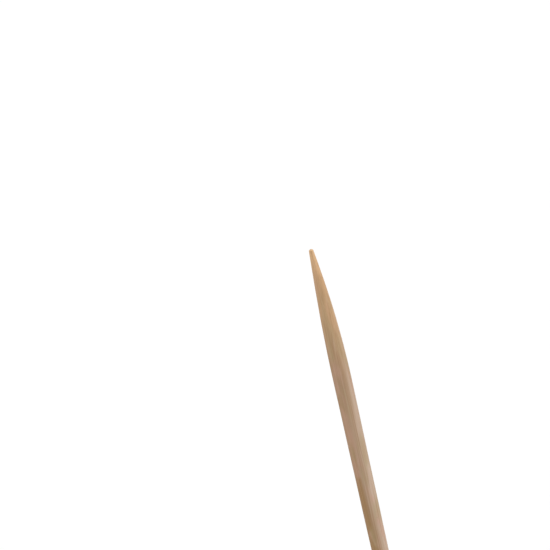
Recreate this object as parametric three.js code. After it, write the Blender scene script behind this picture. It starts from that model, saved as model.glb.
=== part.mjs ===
// A bamboo skewer: a round shank cut square at the butt, and ground to a long blunt point.
// Millimetres, +Z up. The origin is the centre of the butt face, and the point is at the top.

import * as THREE from 'three';

// Driving dimensions.
const overallLength = 200;
const shankDiameter = 3;
// The ground stretch, from the full shank to the end of the point.
const pointLength = 25;
// 1 is a straight cone. A larger number swells the flanks, as a belt sander leaves them.
const pointFullness = 2;
// The point ends in a small blunt face, and its edge is worn round.
const tipDiameter = 0.72;
const tipEdgeRadius = 0.2;
// The point was ground a little askew, so its end lies this far off the shank's centre line.
const tipOffset = 0.4;
// The saw leaves a square butt, whose edge is just broken.
const buttEdgeRadius = 0.15;

// How finely the surface is cut into flat faces.
const sidesRound = 48;
const stepsAlongPoint = 28;
const stepsRoundEdge = 5;

// Worked out from the above.
const shankRadius = shankDiameter / 2;
const tipRadius = tipDiameter / 2;
const tipEdge = Math.min(tipEdgeRadius, tipRadius);
const buttEdge = Math.min(buttEdgeRadius, shankRadius);
const pointStart = overallLength - pointLength;
const flankTop = overallLength - tipEdge;

const bambooColour = 0xb8926a;
const bambooRoughness = 0.62;

// How far the grinding has gone at a height: 0 on the full shank and 1 at the blunt end.
function groundShare(height) {
  const share = THREE.MathUtils.clamp((height - pointStart) / (flankTop - pointStart), 0, 1);
  return Math.pow(share, pointFullness);
}

function flankRadius(height) {
  return THREE.MathUtils.lerp(shankRadius, tipRadius, groundShare(height));
}

// A quarter-circle edge about a centre, from one angle to another, as profile points (radius, height).
function roundEdge(centreRadius, centreHeight, edgeRadius, fromAngle, toAngle) {
  const points = [];
  for (let step = 0; step <= stepsRoundEdge; step++) {
    const angle = THREE.MathUtils.lerp(fromAngle, toAngle, step / stepsRoundEdge);
    points.push(new THREE.Vector2(
      centreRadius + edgeRadius * Math.cos(angle),
      centreHeight + edgeRadius * Math.sin(angle),
    ));
  }
  return points;
}

function buttProfile() {
  const centreRadius = shankRadius - buttEdge;
  return [new THREE.Vector2(0, 0), ...roundEdge(centreRadius, buttEdge, buttEdge, -Math.PI / 2, 0)];
}

// From the full shank up to where the worn edge of the blunt end begins.
function flankProfile() {
  const points = [];
  for (let step = 0; step < stepsAlongPoint; step++) {
    const height = THREE.MathUtils.lerp(pointStart, flankTop, step / stepsAlongPoint);
    points.push(new THREE.Vector2(flankRadius(height), height));
  }
  return points;
}

function tipProfile() {
  const edge = roundEdge(tipRadius - tipEdge, flankTop, tipEdge, 0, Math.PI / 2);
  return [...edge, new THREE.Vector2(0, overallLength)];
}

// Moves each section of the point sideways, further as the grinding goes deeper.
function setAskew(geometry) {
  const place = geometry.getAttribute('position');
  for (let i = 0; i < place.count; i++) {
    place.setX(i, place.getX(i) - tipOffset * groundShare(place.getZ(i)));
  }
}

function skewerGeometry() {
  const profile = [...buttProfile(), ...flankProfile(), ...tipProfile()];
  const geometry = new THREE.LatheGeometry(profile, sidesRound);
  geometry.rotateX(Math.PI / 2);
  setAskew(geometry);
  geometry.computeVertexNormals();
  return geometry;
}

const bamboo = new THREE.MeshStandardMaterial({
  color: bambooColour,
  roughness: bambooRoughness,
  metalness: 0,
});

const skewer = new THREE.Mesh(skewerGeometry(), bamboo);
skewer.name = 'skewer';

const part = new THREE.Group();
part.add(skewer);

export default part;
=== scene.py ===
"""Dresses the bamboo skewer: a round stick of bamboo with its fibres, ground point and sawn butt.

Everything is in metres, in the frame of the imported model. The skewer stands on its butt at the
origin, with its point up, and the camera looks down on the point from the front.
"""

import math
import random
from typing import NamedTuple

import bpy
import numpy as np
from mathutils import Matrix, Vector, noise


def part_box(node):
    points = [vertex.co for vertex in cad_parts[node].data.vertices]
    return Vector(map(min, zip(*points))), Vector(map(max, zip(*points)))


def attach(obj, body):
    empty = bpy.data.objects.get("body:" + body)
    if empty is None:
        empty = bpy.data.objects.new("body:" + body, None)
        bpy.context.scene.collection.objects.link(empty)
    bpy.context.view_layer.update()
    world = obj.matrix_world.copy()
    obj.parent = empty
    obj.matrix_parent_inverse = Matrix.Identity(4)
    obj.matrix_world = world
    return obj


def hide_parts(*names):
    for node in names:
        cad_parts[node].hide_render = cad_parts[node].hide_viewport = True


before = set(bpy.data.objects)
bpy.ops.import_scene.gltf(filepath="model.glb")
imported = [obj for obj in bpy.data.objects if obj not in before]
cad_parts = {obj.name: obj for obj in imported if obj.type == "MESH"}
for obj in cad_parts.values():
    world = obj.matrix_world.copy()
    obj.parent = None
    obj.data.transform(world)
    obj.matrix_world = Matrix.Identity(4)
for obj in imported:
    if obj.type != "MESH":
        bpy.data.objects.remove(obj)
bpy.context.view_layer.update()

MM = 0.001

# The frame gives the stick's length and the thickness of its shank.
stick_low, stick_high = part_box("skewer")
LENGTH = stick_high.z - stick_low.z
SHANK_RADIUS = (stick_high.y - stick_low.y) / 2

# The ground point, its blunt end and the broken edge of the butt.
POINT_LENGTH = 25 * MM
# 1 is a straight cone, and a larger number swells the flanks.
POINT_FULLNESS = 2
TIP_RADIUS = 0.36 * MM
TIP_EDGE = 0.2 * MM
TIP_OFFSET = 0.4 * MM
BUTT_EDGE = 0.15 * MM
POINT_START = LENGTH - POINT_LENGTH
FLANK_TOP = LENGTH - TIP_EDGE

# The mesh: faces round the stick, and the distance between its rings.
SIDES = 96
SHANK_STEP = 0.32 * MM
FLANK_STEP = 0.13 * MM
FACE_STEP = 0.1 * MM
EDGE_STEPS = 6

# The fibre strands in the stick's section, and how far they stand out of its surface.
SEED = 7
STRAND_PITCH = 0.42 * MM
STRAND_JITTER = 0.13 * MM
# Strands are thick and far apart on the inner side, -X, and fine and close on the skin side, +X.
THICK_STRAND = 0.19 * MM
FINE_STRAND = 0.09 * MM
WIDEST_PITCH_SHARE = 1.25
PITCH_SHARE_DROP = 0.5
# A strand fades out at this many times its radius.
STRAND_FADE = 1.6
# The rise from between the strands to the middle of one, and the share of it that is below the
# plain outline.
STRAND_RISE = 0.014 * MM
STRAND_SUNK = 0.5
# Strands wander like slow coils, at one pace in X and another in Y, so that none is a true coil.
STRAND_WANDER = 0.07 * MM
STRAND_WANDER_LENGTH = 60 * MM
WANDER_PACE_IN_Y = 0.7
WANDER_PHASE_IN_Y = 2

# The relief between the strands: fine grooves, and slow waves from the turning. Each noise is
# read in a place of its own.
GROOVE_WIDTH = 0.22 * MM
GROOVE_LENGTH = 16 * MM
GROOVE_DEPTH = 0.012 * MM
GROOVE_SHIFT = 3.1
WAVE_WIDTH = 2.4 * MM
WAVE_LENGTH = 11 * MM
WAVE_DEPTH = 0.016 * MM
WAVE_SHIFT = 17.7
# The belt leaves a few flats round the point, which wander by this angle in radians, and it takes
# this share of the relief away.
FLATS = 7
FLAT_DEPTH = 0.022 * MM
FLAT_WANDER = 4
RELIEF_GROUND_OFF = 0.4

# The camera, from the photograph: where the shank's centre line meets the end of the point, how
# far off that is, how far the camera looks down, and how far it is rolled, in degrees.
PICTURE = 550
LENS_MM = 72
SENSOR_MM = 36
TIP_PIXEL = (313.5, 249.1)
TIP_DEPTH = 165 * MM
LOOK_DOWN = 29
ROLL = 13.73
NEAREST_SEEN = 5 * MM
FARTHEST_SEEN = 100

# The floor and the world are white to the eye. FLOOR_GLOW and WORLD_LIGHT set how bright each is.
WHITE = (1, 1, 1, 1)
FLOOR_HALF = 30.0
FLOOR_COLOUR = (0.8, 0.8, 0.8, 1)
FLOOR_ROUGHNESS = 1
FLOOR_GLOW = 0.17
WORLD_LIGHT = 0.78

# The lamps: the way from the stick to each, and the share of its own colour that it gives a
# surface which faces it.
LAMP_WIDTH = math.radians(24)
LAMPS = (
    ("key", (0.9, -0.3, 0.5), 0.36),
    ("fill", (-0.9, -0.25, 0.5), 0.12),
    ("back", (0.3, 0.9, 0.5), 0.1),
)


def ground_share(height):
    """How far the grinding has gone: 0 on the full shank and 1 at the blunt end."""
    share = np.clip((height - POINT_START) / (FLANK_TOP - POINT_START), 0, 1)
    return share**POINT_FULLNESS


def steps_between(start, end, step):
    """Evenly spaced values from start up to but without end, about a step apart."""
    count = max(1, round(abs(end - start) / step))
    return np.linspace(start, end, count, endpoint=False)


def quarter_edge(centre_radius, centre_height, edge, start):
    """A quarter circle of profile points, from the angle start, without its last point."""
    angles = steps_between(start, start + math.pi / 2, math.pi / 2 / EDGE_STEPS)
    return [
        (centre_radius + edge * math.cos(angle), centre_height + edge * math.sin(angle))
        for angle in angles
    ]


def profile():
    """The stick's outline as (radius, height), from the butt's centre to the tip's, without both."""
    butt_flat = SHANK_RADIUS - BUTT_EDGE
    tip_flat = TIP_RADIUS - TIP_EDGE
    points = [(radius, 0.0) for radius in steps_between(0, butt_flat, FACE_STEP)[1:]]
    points += quarter_edge(butt_flat, BUTT_EDGE, BUTT_EDGE, -math.pi / 2)
    points += [(SHANK_RADIUS, height) for height in steps_between(BUTT_EDGE, POINT_START, SHANK_STEP)]
    for height in steps_between(POINT_START, FLANK_TOP, FLANK_STEP):
        points.append((SHANK_RADIUS + (TIP_RADIUS - SHANK_RADIUS) * ground_share(height), height))
    points += quarter_edge(tip_flat, FLANK_TOP, TIP_EDGE, 0)
    points += [(radius, LENGTH) for radius in steps_between(tip_flat, 0, FACE_STEP)]
    return np.array(points)


def profile_normals(points):
    """Each profile point's outward normal, as (across, up)."""
    closed = np.vstack([(0, 0), points, (0, LENGTH)])
    along = closed[2:] - closed[:-2]
    normals = np.stack([along[:, 1], -along[:, 0]], axis=1)
    return normals / np.linalg.norm(normals, axis=1, keepdims=True)


def strands():
    """The fibre strands in the stick's section, as (x, y, radius, phase)."""
    dice = random.Random(SEED)
    reach = SHANK_RADIUS + STRAND_PITCH
    found = []
    y = -reach
    while y < reach:
        x = -reach
        while x < reach:
            skin = (x + reach) / (2 * reach)
            off_x = dice.uniform(-STRAND_JITTER, STRAND_JITTER)
            off_y = dice.uniform(-STRAND_JITTER, STRAND_JITTER)
            size = THICK_STRAND + (FINE_STRAND - THICK_STRAND) * skin
            found.append((x + off_x, y + off_y, size, dice.uniform(0, math.tau)))
            x += STRAND_PITCH * (WIDEST_PITCH_SHARE - PITCH_SHARE_DROP * skin)
        y += STRAND_PITCH
    return found


def strand_share(places):
    """For each place, 1 in the middle of a fibre strand and 0 between the strands."""
    share = np.zeros(len(places))
    turn = places[:, 2] * math.tau / STRAND_WANDER_LENGTH
    for x, y, size, phase in strands():
        turn_in_y = turn * WANDER_PACE_IN_Y + WANDER_PHASE_IN_Y * phase
        off_x = places[:, 0] - x - STRAND_WANDER * np.sin(turn + phase)
        off_y = places[:, 1] - y - STRAND_WANDER * np.cos(turn_in_y)
        near = 1 - np.hypot(off_x, off_y) / (STRAND_FADE * size)
        share = np.maximum(share, np.clip(near, 0, 1))
    # A smooth step, without a crease where a strand begins.
    return share * share * (3 - 2 * share)


def noise_at(places, width, length, shift):
    """Smooth noise from -1 to 1, so wide across the stick and so long along it."""
    scale = Vector((1 / width, 1 / width, 1 / length))
    return np.array([noise.noise(Vector(p) * scale + Vector((shift, 0, 0))) for p in places])


def relief(places, turns, sideways):
    """How far the surface stands out of the plain outline, and the share of fibre in it.

    sideways is 1 where the surface faces sideways and 0 on an end.
    """
    fibres = strand_share(places)
    grooves = noise_at(places, GROOVE_WIDTH, GROOVE_LENGTH, GROOVE_SHIFT)
    waves = noise_at(places, WAVE_WIDTH, WAVE_LENGTH, WAVE_SHIFT)
    flats = np.abs(np.sin(turns * FLATS / 2 + FLAT_WANDER * waves))
    ground = ground_share(places[:, 2])
    raised = STRAND_RISE * (fibres - STRAND_SUNK)
    out = raised + GROOVE_DEPTH * grooves + WAVE_DEPTH * waves
    flattened = FLAT_DEPTH * flats * np.sqrt(ground) * sideways
    return out * (1 - RELIEF_GROUND_OFF * ground) - flattened, fibres


def ring_angles():
    return np.arange(SIDES) * math.tau / SIDES


def swept(pairs):
    """Sweeps each pair (across, up) round the stick into a ring of (x, y, z)."""
    angles = ring_angles()
    rings = np.empty((len(pairs), SIDES, 3))
    rings[:, :, 0] = pairs[:, :1] * np.cos(angles)
    rings[:, :, 1] = pairs[:, :1] * np.sin(angles)
    rings[:, :, 2] = pairs[:, 1:]
    return rings.reshape(-1, 3)


def stick_faces(rings):
    """The quads between the rings, and the triangles that close both ends on their poles."""
    corner = np.arange(rings * SIDES).reshape(rings, SIDES)
    after = np.roll(corner, -1, axis=1)
    sides = np.stack([corner[:-1], after[:-1], after[1:], corner[1:]], axis=-1).reshape(-1, 4)
    butt_pole = rings * SIDES
    tip_pole = butt_pole + 1
    faces = sides.tolist()
    faces += [(butt_pole, b, a) for a, b in zip(corner[0].tolist(), after[0].tolist())]
    faces += [(tip_pole, a, b) for a, b in zip(corner[-1].tolist(), after[-1].tolist())]
    return faces


def stick_mesh():
    """The whole stick as one closed mesh, with the share of fibre kept at each vertex."""
    outline = profile()
    places = np.vstack([swept(outline), (0, 0, 0), (0, 0, LENGTH)])
    outward = np.vstack([swept(profile_normals(outline)), (0, 0, -1), (0, 0, 1)])
    turns = np.append(np.tile(ring_angles(), len(outline)), (0, 0))

    out, fibres = relief(places, turns, 1 - np.abs(outward[:, 2]))
    places += outward * out[:, None]
    places[:, 0] -= TIP_OFFSET * ground_share(places[:, 2])
    # No relief reaches below the floor.
    places[:, 2] = np.maximum(places[:, 2], 0)

    mesh = bpy.data.meshes.new("skewer_stick")
    mesh.from_pydata(places.tolist(), [], stick_faces(len(outline)))
    mesh.attributes.new("fibre", "FLOAT", "POINT").data.foreach_set("value", fibres)
    mesh.shade_smooth()
    return mesh


def srgb(red, green, blue):
    """A screen colour from 0 to 255 as the linear colour that a shader takes."""
    def linear(value):
        share = value / 255
        return share / 12.92 if share <= 0.04045 else ((share + 0.055) / 1.055) ** 2.4

    return (linear(red), linear(green), linear(blue), 1)


# Where a Mix node keeps its two colours and its result.
MIX_FIRST = 6
MIX_SECOND = 7
MIX_RESULT = 2


class Nodes:
    """Builds the nodes of one material or world with few words."""

    def __init__(self, owner):
        owner.use_nodes = True
        self.tree = owner.node_tree
        self.tree.nodes.clear()

    def add(self, kind, **settings):
        node = self.tree.nodes.new(kind)
        for key, value in settings.items():
            setattr(node, key, value)
        return node

    def join(self, value, socket):
        """Links a socket's value, or sets a plain one."""
        if isinstance(value, bpy.types.NodeSocket):
            self.tree.links.new(value, socket)
        else:
            socket.default_value = value

    def split(self, vector):
        node = self.add("ShaderNodeSeparateXYZ")
        self.join(vector, node.inputs[0])
        return node.outputs

    def math(self, operation, *values):
        node = self.add("ShaderNodeMath", operation=operation)
        for value, socket in zip(values, node.inputs):
            self.join(value, socket)
        return node.outputs[0]

    def ramp(self, value, low, high, to_low=0.0, to_high=1.0):
        node = self.add("ShaderNodeMapRange", interpolation_type="SMOOTHSTEP")
        for socket, given in zip(node.inputs, (value, low, high, to_low, to_high)):
            self.join(given, socket)
        return node.outputs[0]

    def mix(self, share, first, second):
        node = self.add("ShaderNodeMix", data_type="RGBA")
        self.join(share, node.inputs["Factor"])
        self.join(first, node.inputs[MIX_FIRST])
        self.join(second, node.inputs[MIX_SECOND])
        return node.outputs[MIX_RESULT]

    def noise(self, place, width, length, detail, shift):
        """Noise that is so wide across the stick and so long along it, about 0 to 1."""
        mapping = self.add("ShaderNodeMapping")
        self.join(place, mapping.inputs["Vector"])
        mapping.inputs["Location"].default_value = (shift, shift, shift)
        mapping.inputs["Scale"].default_value = (1 / width, 1 / width, 1 / length)
        node = self.add("ShaderNodeTexNoise")
        self.join(mapping.outputs[0], node.inputs["Vector"])
        node.inputs["Scale"].default_value = 1
        node.inputs["Detail"].default_value = detail
        return node.outputs["Fac"]

    def surface(self, result, output):
        """Makes a shader the material's or the world's own."""
        self.join(result, self.add(output).inputs["Surface"])


# The bamboo's tones. The palest flesh tone is the wood's own in the light streaks, and it is also
# laid on the +X side as painted light; the deepest flesh tone, on the -X side, is partly the wood's
# deeper tan and partly painted shade.
PALE_FLESH_AND_PAINTED_LIGHT = srgb(189, 165, 144)
TAN_FLESH = srgb(171, 142, 114)
DEEP_FLESH_AND_PAINTED_SHADE = srgb(153, 118, 74)
PINK_FLESH = srgb(188, 150, 130)
GREEN_FLESH = srgb(167, 147, 111)
FIBRE_TAN = srgb(156, 123, 89)
GROUND_WOOD = srgb(202, 161, 117)
TIP_WOOD = srgb(218, 180, 137)
STREAK_BROWN = srgb(146, 111, 78)
SPECK_BROWN = srgb(96, 66, 44)
END_GRAIN = srgb(228, 190, 144)
END_FIBRE = srgb(182, 142, 100)

# The paler side, +X, which is partly painted light on the key lamp's side, and the deeper tan side,
# -X, which is partly painted shade, widen by this much from one height to the other.
SIDE_SPREAD = 1.0 * MM
WIDE_HEIGHT = 130 * MM
NARROW_HEIGHT = 200 * MM
# How far across the stick each side fades in.
PALE_AND_PAINTED_LIGHT_FADE = (-0.7 * MM, 1.2 * MM)
DEEP_AND_PAINTED_SHADE_FADE = (0.1 * MM, 2.0 * MM)
# The wave in their borders: how far it swings, and its noise.
BORDER_SWING = 1.6 * MM
BORDER_WIDTH = 1.1 * MM
BORDER_LENGTH = 34 * MM
BORDER_DETAIL = 2.0
BORDER_SHIFT = 5.0
NOISE_MIDDLE = 0.5

# The fresher tone of the ground point, and the freshest at its end: from which height to which.
FRESH_SHARE = 0.6
FRESH_HEIGHTS = (POINT_START, POINT_START + 20 * MM)
TIP_HEIGHTS = (LENGTH - 7 * MM, LENGTH - 1 * MM)

# Sanding calms the grain of the ground point, whose fresh tone covers it again by this share.
SANDED_SHARE = 0.35

# How much the strands tint the surface.
STRAND_TINT = 0.5
# The cut ends are what faces this much up or down, and how much of their own tone they take.
CUT_FACING = (0.4, 0.9)
CUT_SHARE = 0.8

# The finish: the dark streaks' noise between these values sets the roughness between those.
ROUGHNESS_NOISE = (0.3, 0.7)
ROUGHNESS = (0.58, 0.74)
SPECULAR = 0.3
BUMP_STRENGTH = 0.5
BUMP_DISTANCE = 0.02 * MM


class Layer(NamedTuple):
    """A tone laid over the stick where a noise is high, from its low value on to its high one."""

    tone: tuple
    width: float
    length: float
    detail: float
    shift: float
    low: float
    high: float
    strength: float


# Soft pink and green-grey patches drift along the stick.
PINK_PATCHES = Layer(PINK_FLESH, 1.3 * MM, 5 * MM, 1.0, 12.0, 0.48, 0.68, 0.6)
GREEN_PATCHES = Layer(GREEN_FLESH, 1.5 * MM, 7 * MM, 1.0, 31.0, 0.48, 0.68, 0.6)
# The fine grain runs from streaks down to hairs and specks.
DARK_STREAKS = Layer(STREAK_BROWN, 0.14 * MM, 13 * MM, 4.0, 1.0, 0.47, 0.75, 0.65)
LIGHT_STREAKS = Layer(PALE_FLESH_AND_PAINTED_LIGHT, 0.2 * MM, 21 * MM, 3.0, 9.0, 0.52, 0.8, 0.5)
HAIRS = Layer(FIBRE_TAN, 0.045 * MM, 7 * MM, 2.0, 23.0, 0.5, 0.75, 0.5)
SPECKS = Layer(SPECK_BROWN, 0.16 * MM, 0.5 * MM, 1.0, 2.0, 0.79, 0.84, 0.7)


def lay(n, place, colour, layer):
    """Lays a layer over a colour, and gives the new colour and the layer's noise."""
    grain = n.noise(place, layer.width, layer.length, layer.detail, layer.shift)
    share = n.ramp(grain, layer.low, layer.high, 0.0, layer.strength)
    return n.mix(share, colour, layer.tone), grain


def flesh_and_painted_shading_colour(n, place, across, height):
    """The tan of the stick, paler on +X, partly as painted light, and a deeper tan on -X, partly as
    painted shade, with wavy borders between.
    """
    spread = n.ramp(height, WIDE_HEIGHT, NARROW_HEIGHT, SIDE_SPREAD, -SIDE_SPREAD)
    border = n.noise(place, BORDER_WIDTH, BORDER_LENGTH, BORDER_DETAIL, BORDER_SHIFT)
    wave = n.math("SUBTRACT", border, NOISE_MIDDLE)
    wavy_across = n.math("MULTIPLY_ADD", wave, BORDER_SWING, across)
    # The paler +X side is partly painted light and the deeper -X side partly painted shade, each laid
    # over some of the wood's own tone.
    pale_and_painted_light = n.ramp(n.math("ADD", spread, wavy_across), *PALE_AND_PAINTED_LIGHT_FADE)
    deep_and_painted_shade = n.ramp(n.math("SUBTRACT", spread, wavy_across), *DEEP_AND_PAINTED_SHADE_FADE)
    return n.mix(deep_and_painted_shade, n.mix(pale_and_painted_light, TAN_FLESH, PALE_FLESH_AND_PAINTED_LIGHT), DEEP_FLESH_AND_PAINTED_SHADE)


def ground_colour(n, place, height, flesh_and_painted_shading):
    """Adds the fresher wood of the ground point, the patches, and the freshest wood at its end."""
    fresh = n.ramp(height, *FRESH_HEIGHTS, 0.0, FRESH_SHARE)
    colour = n.mix(fresh, flesh_and_painted_shading, GROUND_WOOD)
    for patches in (PINK_PATCHES, GREEN_PATCHES):
        colour, _ = lay(n, place, colour, patches)
    return n.mix(n.ramp(height, *TIP_HEIGHTS), colour, TIP_WOOD)


def cut_colour(n, colour, fibre):
    """Shows the fibres end on where the stick is cut across."""
    facing = n.add("ShaderNodeNewGeometry").outputs["Normal"]
    upright = n.math("ABSOLUTE", n.split(facing)["Z"])
    cut = n.ramp(upright, *CUT_FACING, 0.0, CUT_SHARE)
    return n.mix(cut, colour, n.mix(fibre, END_GRAIN, END_FIBRE))


def bamboo_material():
    material = bpy.data.materials.new("bamboo")
    n = Nodes(material)
    place = n.add("ShaderNodeTexCoord").outputs["Object"]
    along = n.split(place)
    # This flesh tone carries painted light on its +X side and painted shade on its -X side.
    flesh_and_painted_shading = flesh_and_painted_shading_colour(n, place, along["X"], along["Z"])
    colour = ground_colour(n, place, along["Z"], flesh_and_painted_shading)

    fibre = n.add("ShaderNodeAttribute", attribute_name="fibre").outputs["Fac"]
    colour = n.mix(n.math("MULTIPLY", fibre, STRAND_TINT), colour, FIBRE_TAN)
    colour, dark_streaks = lay(n, place, colour, DARK_STREAKS)
    colour, light_streaks = lay(n, place, colour, LIGHT_STREAKS)
    for grain in (HAIRS, SPECKS):
        colour, _ = lay(n, place, colour, grain)
    sanded = n.ramp(along["Z"], *FRESH_HEIGHTS, 0.0, SANDED_SHARE)
    colour = n.mix(sanded, colour, GROUND_WOOD)
    colour = cut_colour(n, colour, fibre)

    bump = n.add("ShaderNodeBump")
    bump.inputs["Strength"].default_value = BUMP_STRENGTH
    bump.inputs["Distance"].default_value = BUMP_DISTANCE
    n.join(n.math("ADD", dark_streaks, light_streaks), bump.inputs["Height"])

    shader = n.add("ShaderNodeBsdfPrincipled")
    n.join(colour, shader.inputs["Base Color"])
    n.join(n.ramp(dark_streaks, *ROUGHNESS_NOISE, *ROUGHNESS), shader.inputs["Roughness"])
    shader.inputs["Specular IOR Level"].default_value = SPECULAR
    n.join(bump.outputs[0], shader.inputs["Normal"])
    n.surface(shader.outputs[0], "ShaderNodeOutputMaterial")
    return material


def build_stick():
    stick = bpy.data.objects.new("skewer_stick", stick_mesh())
    bpy.context.scene.collection.objects.link(stick)
    stick.data.materials.append(bamboo_material())
    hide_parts("skewer")
    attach(stick, "root")


def seen_directly(n):
    """1 for rays from the eye, a mirror or a glass, and 0 for those that carry light."""
    path = n.add("ShaderNodeLightPath").outputs
    seen = n.math("MAXIMUM", path["Is Camera Ray"], path["Is Glossy Ray"])
    return n.math("MAXIMUM", seen, path["Is Transmission Ray"])


def floor_material():
    material = bpy.data.materials.new("floor_white")
    n = Nodes(material)
    shader = n.add("ShaderNodeBsdfPrincipled")
    shader.inputs["Base Color"].default_value = FLOOR_COLOUR
    shader.inputs["Roughness"].default_value = FLOOR_ROUGHNESS
    shader.inputs["Emission Color"].default_value = WHITE
    n.join(n.math("MULTIPLY", seen_directly(n), FLOOR_GLOW), shader.inputs["Emission Strength"])
    n.surface(shader.outputs[0], "ShaderNodeOutputMaterial")
    return material


def build_floor():
    half = FLOOR_HALF
    corners = [(-half, -half, 0), (half, -half, 0), (half, half, 0), (-half, half, 0)]
    mesh = bpy.data.meshes.new("floor")
    mesh.from_pydata(corners, [], [(0, 1, 2, 3)])
    mesh.materials.append(floor_material())
    floor = bpy.data.objects.new("floor", mesh)
    bpy.context.scene.collection.objects.link(floor)


def build_world():
    world = bpy.data.worlds.new("white_room")
    bpy.context.scene.world = world
    n = Nodes(world)
    background = n.add("ShaderNodeBackground")
    background.inputs["Color"].default_value = WHITE
    strength = n.math("MULTIPLY_ADD", seen_directly(n), 1 - WORLD_LIGHT, WORLD_LIGHT)
    n.join(strength, background.inputs["Strength"])
    n.surface(background.outputs[0], "ShaderNodeOutputWorld")


def build_lamp(name, direction, share):
    """A broad even lamp in a direction, that lights what faces it to a share of its own colour."""
    lamp = bpy.data.lights.new(name, "SUN")
    lamp.angle = LAMP_WIDTH
    lamp.energy = share * math.pi
    holder = bpy.data.objects.new(name, lamp)
    holder.rotation_euler = Vector(direction).to_track_quat("Z", "Y").to_euler()
    bpy.context.scene.collection.objects.link(holder)


def build_camera():
    """The photograph's camera, placed by the pixel, the depth and the angles of the point's end."""
    camera = bpy.data.cameras.new("camera")
    camera.lens = LENS_MM
    camera.sensor_width = SENSOR_MM
    camera.clip_start = NEAREST_SEEN
    camera.clip_end = FARTHEST_SEEN
    turn = Matrix.Rotation(math.radians(90 - LOOK_DOWN), 3, "X")
    turn = turn @ Matrix.Rotation(math.radians(-ROLL), 3, "Z")
    pixels_per_tangent = PICTURE * LENS_MM / SENSOR_MM
    right = (TIP_PIXEL[0] - PICTURE / 2) / pixels_per_tangent
    down = (TIP_PIXEL[1] - PICTURE / 2) / pixels_per_tangent
    to_tip = Vector((right, -down, -1)) * TIP_DEPTH
    place = Vector((0, 0, LENGTH)) - turn @ to_tip
    holder = bpy.data.objects.new("camera", camera)
    holder.matrix_world = Matrix.Translation(place) @ turn.to_4x4()
    bpy.context.scene.collection.objects.link(holder)
    bpy.context.scene.camera = holder


build_stick()
build_floor()
build_world()
for lamp_name, lamp_direction, lamp_share in LAMPS:
    build_lamp(lamp_name, lamp_direction, lamp_share)
build_camera()
bpy.context.scene.view_settings.view_transform = "Standard"
